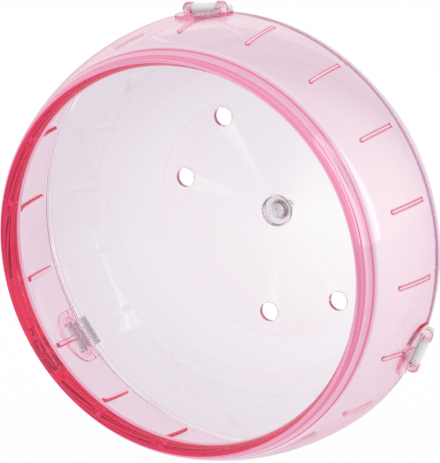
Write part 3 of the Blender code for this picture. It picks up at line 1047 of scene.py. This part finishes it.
@dataclass
class AxlePin:
    """The clear snap-in pin: a cored head, a journal, and a barbed tail split into four prongs."""

    head_seat: float = -30.4 * MM
    head: float = 5.5 * MM
    head_height: float = 1.6 * MM
    head_foot: float = 5.2 * MM
    core: float = 4.8 * MM
    core_depth: float = 0.9 * MM
    pin: float = 2.0 * MM
    seat: float = -35.6 * MM
    grip: float = 2.5 * MM
    barb: float = 2.5 * MM
    barb_length: float = 4.6 * MM
    tip: float = 1.6 * MM
    split: float = 1.0 * MM
    split_length: float = 9.0 * MM

    def build(self) -> BMesh:
        """Build the pin: turn it, then split its tail crosswise.

        Returns:
            The pin, in the wheel's own frame.
        """
        front = self.head_seat + self.head_height
        floor = front - self.core_depth
        neck = self.seat - self.grip
        end = neck - self.barb_length
        rim = (self.head - self.core) / 2
        foot = self.core - self.core_depth / 2
        pen = Pen((0.0, floor)).line((foot, floor), (self.core, front - rim))
        pen.arc((self.core + rim, front - rim), -180, steps=14)
        pen.line((self.head_foot, self.head_seat), (self.pin, self.head_seat), (self.pin, neck))
        pen.line((self.barb, neck - (self.barb - self.pin)), (self.tip, end), (0.0, end))
        pin = pen.turned(steps=96)
        slit = bmesh.new()
        bmesh.ops.create_cube(slit, size=1.0)
        size = (2 * self.barb + SPARE, self.split, self.split_length + SPARE)
        bmesh.ops.scale(slit, vec=size, verts=slit.verts)
        middle = Matrix.Translation((0.0, 0.0, end + self.split_length / 2 - SPARE / 2))
        for turn in (0, 90):
            place = middle @ Matrix.Rotation(math.radians(turn), 4, "Z")
            pin = carved(pin, gathered([(slit, place)]), Cut.REMOVE)
        slit.free()
        return pin


@dataclass
class ThrustWasher:
    """The plain ring behind the hub."""

    outer: float = 3.1 * MM
    bore: float = 2.2 * MM
    front: float = -34.8 * MM
    rear: float = -35.6 * MM
    edge: float = 0.15 * MM

    def build(self) -> BMesh:
        """Build the washer."""
        pen = Pen((self.outer, self.front)).line((self.outer, self.rear), (self.bore, self.rear))
        return rounded(pen.line((self.bore, self.front)).closed().turned(steps=96), self.edge)


@dataclass(frozen=True)
class SoftBox:
    """A soft box.

    Attributes:
        name: Its name.
        place: Where it hangs.
        size: Its width and height.
        level: How bright its face is, where white paper is 1.
    """

    name: str
    place: tuple[float, float, float]
    size: Point
    level: float

    def hang(self, aim: Vector) -> None:
        """Hang it in the scene.

        Args:
            aim: The point that it faces.
        """
        data = bpy.data.lights.new(self.name, "AREA")
        data.shape = "RECTANGLE"
        data.size, data.size_y = self.size
        data.energy = self.level * math.pi * self.size[0] * self.size[1]
        lamp = bpy.data.objects.new(self.name, data)
        lamp.location = self.place
        lamp.rotation_euler = (aim - Vector(self.place)).to_track_quat("-Z", "Y").to_euler()
        bpy.context.scene.collection.objects.link(lamp)


@dataclass
class Studio:
    """A white table, soft light from all round, and a camera at the photograph's angle."""

    # The camera: angles in degrees, and pixels of the photograph's frame
    azimuth: float = 28.08
    elevation: float = 15.59
    roll: float = 0.32
    distance: float = 0.969
    focal: float = 3022.0
    width: int = 440
    height: int = 463
    target: tuple[float, float, float] = (0.0, -0.0324, 0.0)
    target_pixel: Point = (239.1, 229.5)
    sensor: float = 36.0
    # The table: white to the camera. Through the plastic it shows a painted pool of light behind the wheel,
    # fading out to painted pink shade
    floor_level: float = -0.0765
    floor_size: float = 8.0
    lit_share: float = 0.97
    pool: Point = (-0.08, 0.26)
    pool_size: Point = (0.16, 0.36)
    # The colour of the painted pink shade: the shade the wheel would throw on the table, painted into its
    # emission
    painted_shade_colour: str = "e4dbe4"
    pool_fade: float = 1.2
    paper: str = "fafafa"
    # The light: the room all round, where white paper is 1, and the soft boxes
    room_light: float = 0.9
    boxes: tuple[SoftBox, ...] = (
        SoftBox("right_box", (1.42, 0.52, 0.7), (0.30, 1.5), 0.9),
        SoftBox("right_strip", (1.48, 0.43, 0.7), (0.06, 1.5), 1.3),
        SoftBox("right_strip_rear", (1.41, 0.61, 0.7), (0.05, 1.5), 1.3),
    )
    # How often light may turn before it is lost: it runs a long way inside a clear wall
    light_turns: int = 256

    def camera(self) -> None:
        """Set up the camera."""
        azimuth, elevation, roll = (math.radians(v) for v in (self.azimuth, self.elevation, self.roll))
        level = math.cos(elevation)
        back = Vector((math.sin(azimuth) * level, -math.cos(azimuth) * level, math.sin(elevation)))
        place = Vector(self.target) + self.distance * back
        across = Vector((math.cos(azimuth), math.sin(azimuth), 0.0))
        up = back.cross(across)
        right = math.cos(roll) * across + math.sin(roll) * up
        up = math.cos(roll) * up - math.sin(roll) * across
        off_x = (self.width / 2 - self.target_pixel[0]) / self.focal
        off_y = (self.target_pixel[1] - self.height / 2) / self.focal
        forward = (off_x * right + off_y * up - back).normalized()
        right = (right - right.dot(forward) * forward).normalized()
        up = right.cross(forward)
        data = bpy.data.cameras.new("photo_camera")
        data.sensor_fit = "AUTO"
        data.sensor_width = self.sensor
        data.lens = self.focal * self.sensor / max(self.width, self.height)
        data.clip_start = 0.05
        camera = bpy.data.objects.new("photo_camera", data)
        facing = Matrix((right, up, -forward)).transposed().to_4x4()
        camera.matrix_world = Matrix.Translation(place) @ facing
        bpy.context.scene.collection.objects.link(camera)
        bpy.context.scene.camera = camera

    def floor(self) -> None:
        """Lay the white table. Through the plastic it shows a painted pool of light, fading out to painted
        pink shade away from it.
        """
        shape = bmesh.new()
        bmesh.ops.create_grid(shape, x_segments=1, y_segments=1, size=self.floor_size / 2)
        bmesh.ops.translate(shape, vec=(0.0, 0.0, self.floor_level), verts=shape.verts)
        mesh = bpy.data.meshes.new("table")
        shape.to_mesh(mesh)
        shape.free()
        material = bare_material("white_table")
        tree = material.node_tree
        place = add_node(tree, "ShaderNodeTexCoord", {}, {}).outputs["Object"]
        spot = add_node(
            tree,
            "ShaderNodeMapping",
            {
                "vector_type": "TEXTURE",
                "Location": (self.pool[0], self.pool[1], self.floor_level),
                "Rotation": (0.0, 0.0, math.radians(self.azimuth)),
                "Scale": (self.pool_size[0], self.pool_size[1], 1.0),
            },
            {"Vector": place},
        )
        reach = add_node(
            tree, "ShaderNodeVectorMath", {"operation": "LENGTH"}, {"0": spot.outputs["Vector"]}
        )
        shade = add_node(
            tree,
            "ShaderNodeMapRange",
            {"interpolation_type": "SMOOTHSTEP", "From Max": self.pool_fade},
            {"Value": reach.outputs["Value"]},
        )
        path = add_node(tree, "ShaderNodeLightPath", {}, {})
        shaded = add_node(
            tree,
            "ShaderNodeMath",
            {"operation": "SUBTRACT", "use_clamp": True},
            {"0": shade.outputs["Result"], "1": path.outputs["Is Camera Ray"]},
        )
        # Painted pool of light: white at its middle and painted pink shade further out. Camera rays see
        # plain white
        painted_pool_colour = add_node(
            tree,
            "ShaderNodeMixRGB",
            {"Color1": (1.0, 1.0, 1.0, 1.0), "Color2": linear(self.painted_shade_colour)},
            {"Fac": shaded.outputs[0]},
        )
        seen = path.outputs["Is Camera Ray"]
        for kind in ("Is Glossy Ray", "Is Transmission Ray"):
            either = add_node(
                tree, "ShaderNodeMath", {"operation": "MAXIMUM"}, {"0": seen, "1": path.outputs[kind]}
            )
            seen = either.outputs[0]
        share = add_node(
            tree, "ShaderNodeMath", {"operation": "MULTIPLY", "1": self.lit_share}, {"0": seen}
        )
        paper = add_node(tree, "ShaderNodeBsdfDiffuse", {"Color": linear(self.paper)}, {})
        # The emission carries the painted pool of light and painted shade to glossy and transmission rays
        white = add_node(tree, "ShaderNodeEmission", {"Strength": 1.0}, {"Color": painted_pool_colour.outputs[0]})
        parts = {"Fac": share.outputs[0], "1": paper.outputs[0], "2": white.outputs[0]}
        mix = add_node(tree, "ShaderNodeMixShader", {}, parts)
        add_node(tree, "ShaderNodeOutputMaterial", {}, {"Surface": mix.outputs[0]})
        mesh.materials.append(material)
        table = bpy.data.objects.new("table", mesh)
        bpy.context.scene.collection.objects.link(table)

    def world(self) -> None:
        """Light the room evenly from all round."""
        world = bpy.data.worlds.new("studio")
        world.use_nodes = True
        tree = world.node_tree
        tree.nodes.clear()
        room = {"Color": (1.0, 1.0, 1.0, 1.0), "Strength": self.room_light}
        back = add_node(tree, "ShaderNodeBackground", room, {})
        add_node(tree, "ShaderNodeOutputWorld", {}, {"Surface": back.outputs[0]})
        bpy.context.scene.world = world

    def build(self) -> None:
        """Set up the whole studio."""
        for box in self.boxes:
            box.hang(Vector(self.target))
        self.camera()
        self.floor()
        self.world()
        scene = bpy.context.scene
        scene.view_settings.view_transform = "Standard"
        scene.cycles.max_bounces = self.light_turns
        scene.cycles.glossy_bounces = self.light_turns
        scene.cycles.transmission_bounces = self.light_turns


# Polystyrene dyed pink and moulded in a polished tool: glassy, pale straight through a wall, and crimson
# where light runs along it to the lip and the ears
PINK = MouldedPlastic("pink_polystyrene_polished", (0.001, 0.080, 0.047))
# The same plastic without the dye: clear as glass face on, with a faint rosy cast from its thickness
CLEAR = MouldedPlastic("clear_polystyrene_polished", (0.006, 0.016, 0.009))
# Polypropylene without dye, moulded: milky white and satin, because light soaks in and comes out again
LATCH = MouldedPlastic(
    "natural_polypropylene_moulded", smoothest=0.2, roughest=0.3, clarity=0.0, base="f7f8fa", milk=1.0
)
# Polycarbonate, moulded: a clear, bright rim about a recess left matt, which blurs what is behind it
PIN = MouldedPlastic(
    "clear_polycarbonate_pin", (0.010, 0.010, 0.008), matt_radius=4.3 * MM, matt_front=-5.5 * MM
)
# Nylon without dye, turned: waxy off-white, with rings left by the tool. Real ones are about 0.1 mm apart,
# which is too fine to show, so they are drawn coarser
NYLON = TurnedNylon("natural_nylon_turned", "dedcd4")


def main() -> None:
    """Load the frame, dress the wheel in it and set up the studio."""
    logging.basicConfig(level=logging.INFO, format="%(name)s %(message)s")
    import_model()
    place = WheelPlace()
    stations = Stations()
    ring = RunningRing(stations)
    shell = BackShell(stations, ring)
    place.add("running_ring", ring.build(), PINK.material(), Body.WHEEL, "pink_plastic")
    place.add("back_shell", shell.build(), CLEAR.material(), Body.WHEEL, "clear_plastic")
    latch_material = LATCH.material()
    bodies = (Body.TOP_LATCH, Body.RIGHT_LATCH, Body.LEFT_LATCH)
    for (name, _), pivot, body in zip(stations.angles, stations.pivots(), bodies):
        latch = SwingLatch(stations, shell).build()
        bmesh.ops.transform(latch, matrix=pivot, verts=latch.verts)
        place.add(name, latch, latch_material, body, "latch_plastic")
    place.add("axle_pin", AxlePin().build(), PIN.material(), Body.AXLE, "pin_plastic")
    place.add("thrust_washer", ThrustWasher().build(), NYLON.material(), Body.AXLE, "washer_nylon")
    Studio().build()


if __name__ == "__main__":
    main()
